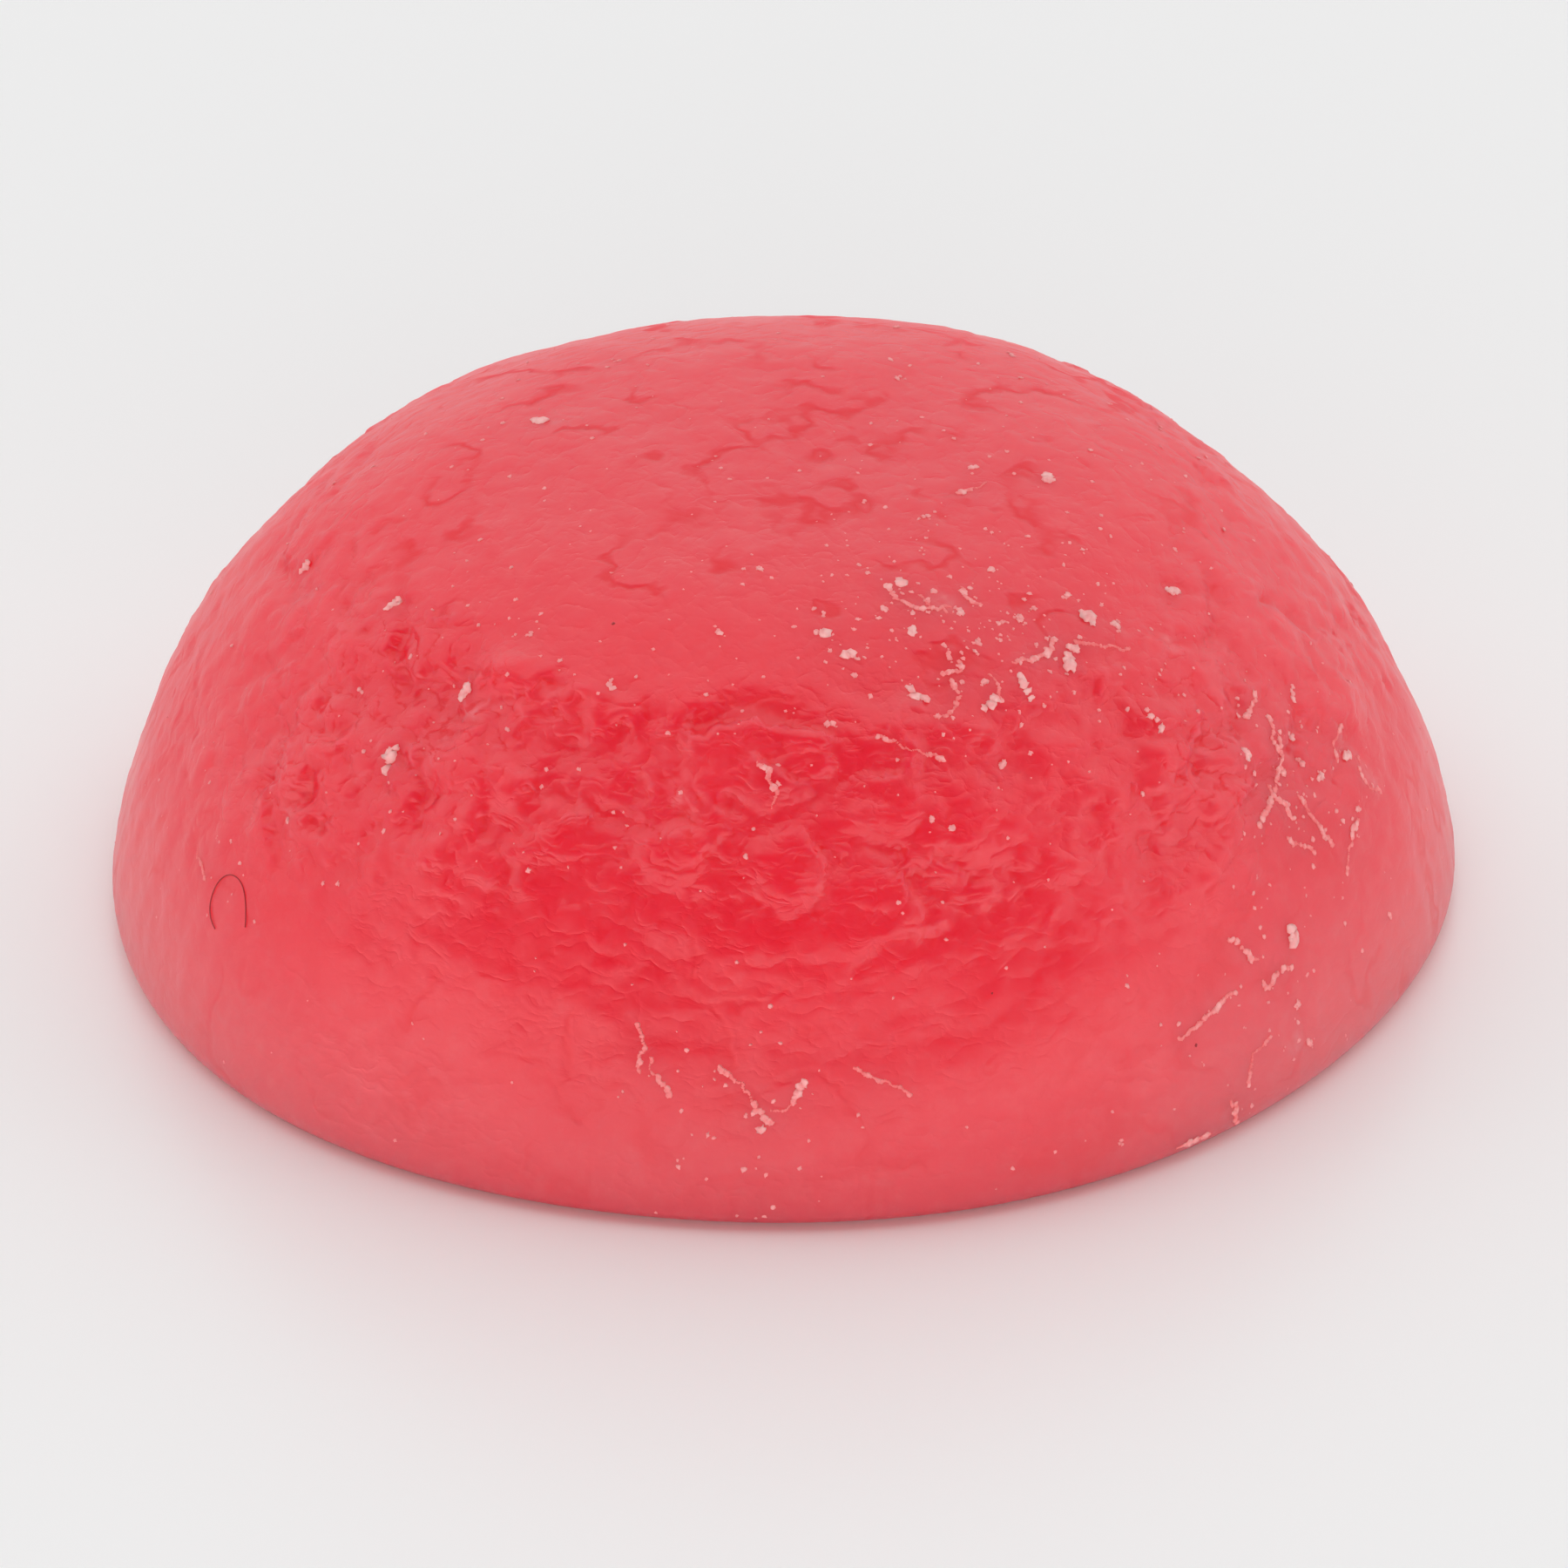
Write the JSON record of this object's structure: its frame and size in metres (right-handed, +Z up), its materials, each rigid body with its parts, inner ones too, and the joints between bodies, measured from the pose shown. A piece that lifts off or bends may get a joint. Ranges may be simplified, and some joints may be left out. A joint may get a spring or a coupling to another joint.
{
  "type": "gummy candy",
  "caption": "Low dome of soft red fruit gummy with a flattened crown, slanting wrinkled wall and flat base, dusted with white starch crumbs.",
  "frame": {"origin": "middle of the flat base, on the surface that the candy rests on", "axes": "+Z up through the crown; +X along the widest direction of the foot; -Y is the side shown in front in the picture"},
  "size_m": [0.0202, 0.0196, 0.0078],
  "materials": {
    "gummy": "satin",
    "starch": "matte",
    "lint": "matte"
  },
  "bodies": {
    "root": {"gummy": "gummy"}
  },
  "joints": []
}
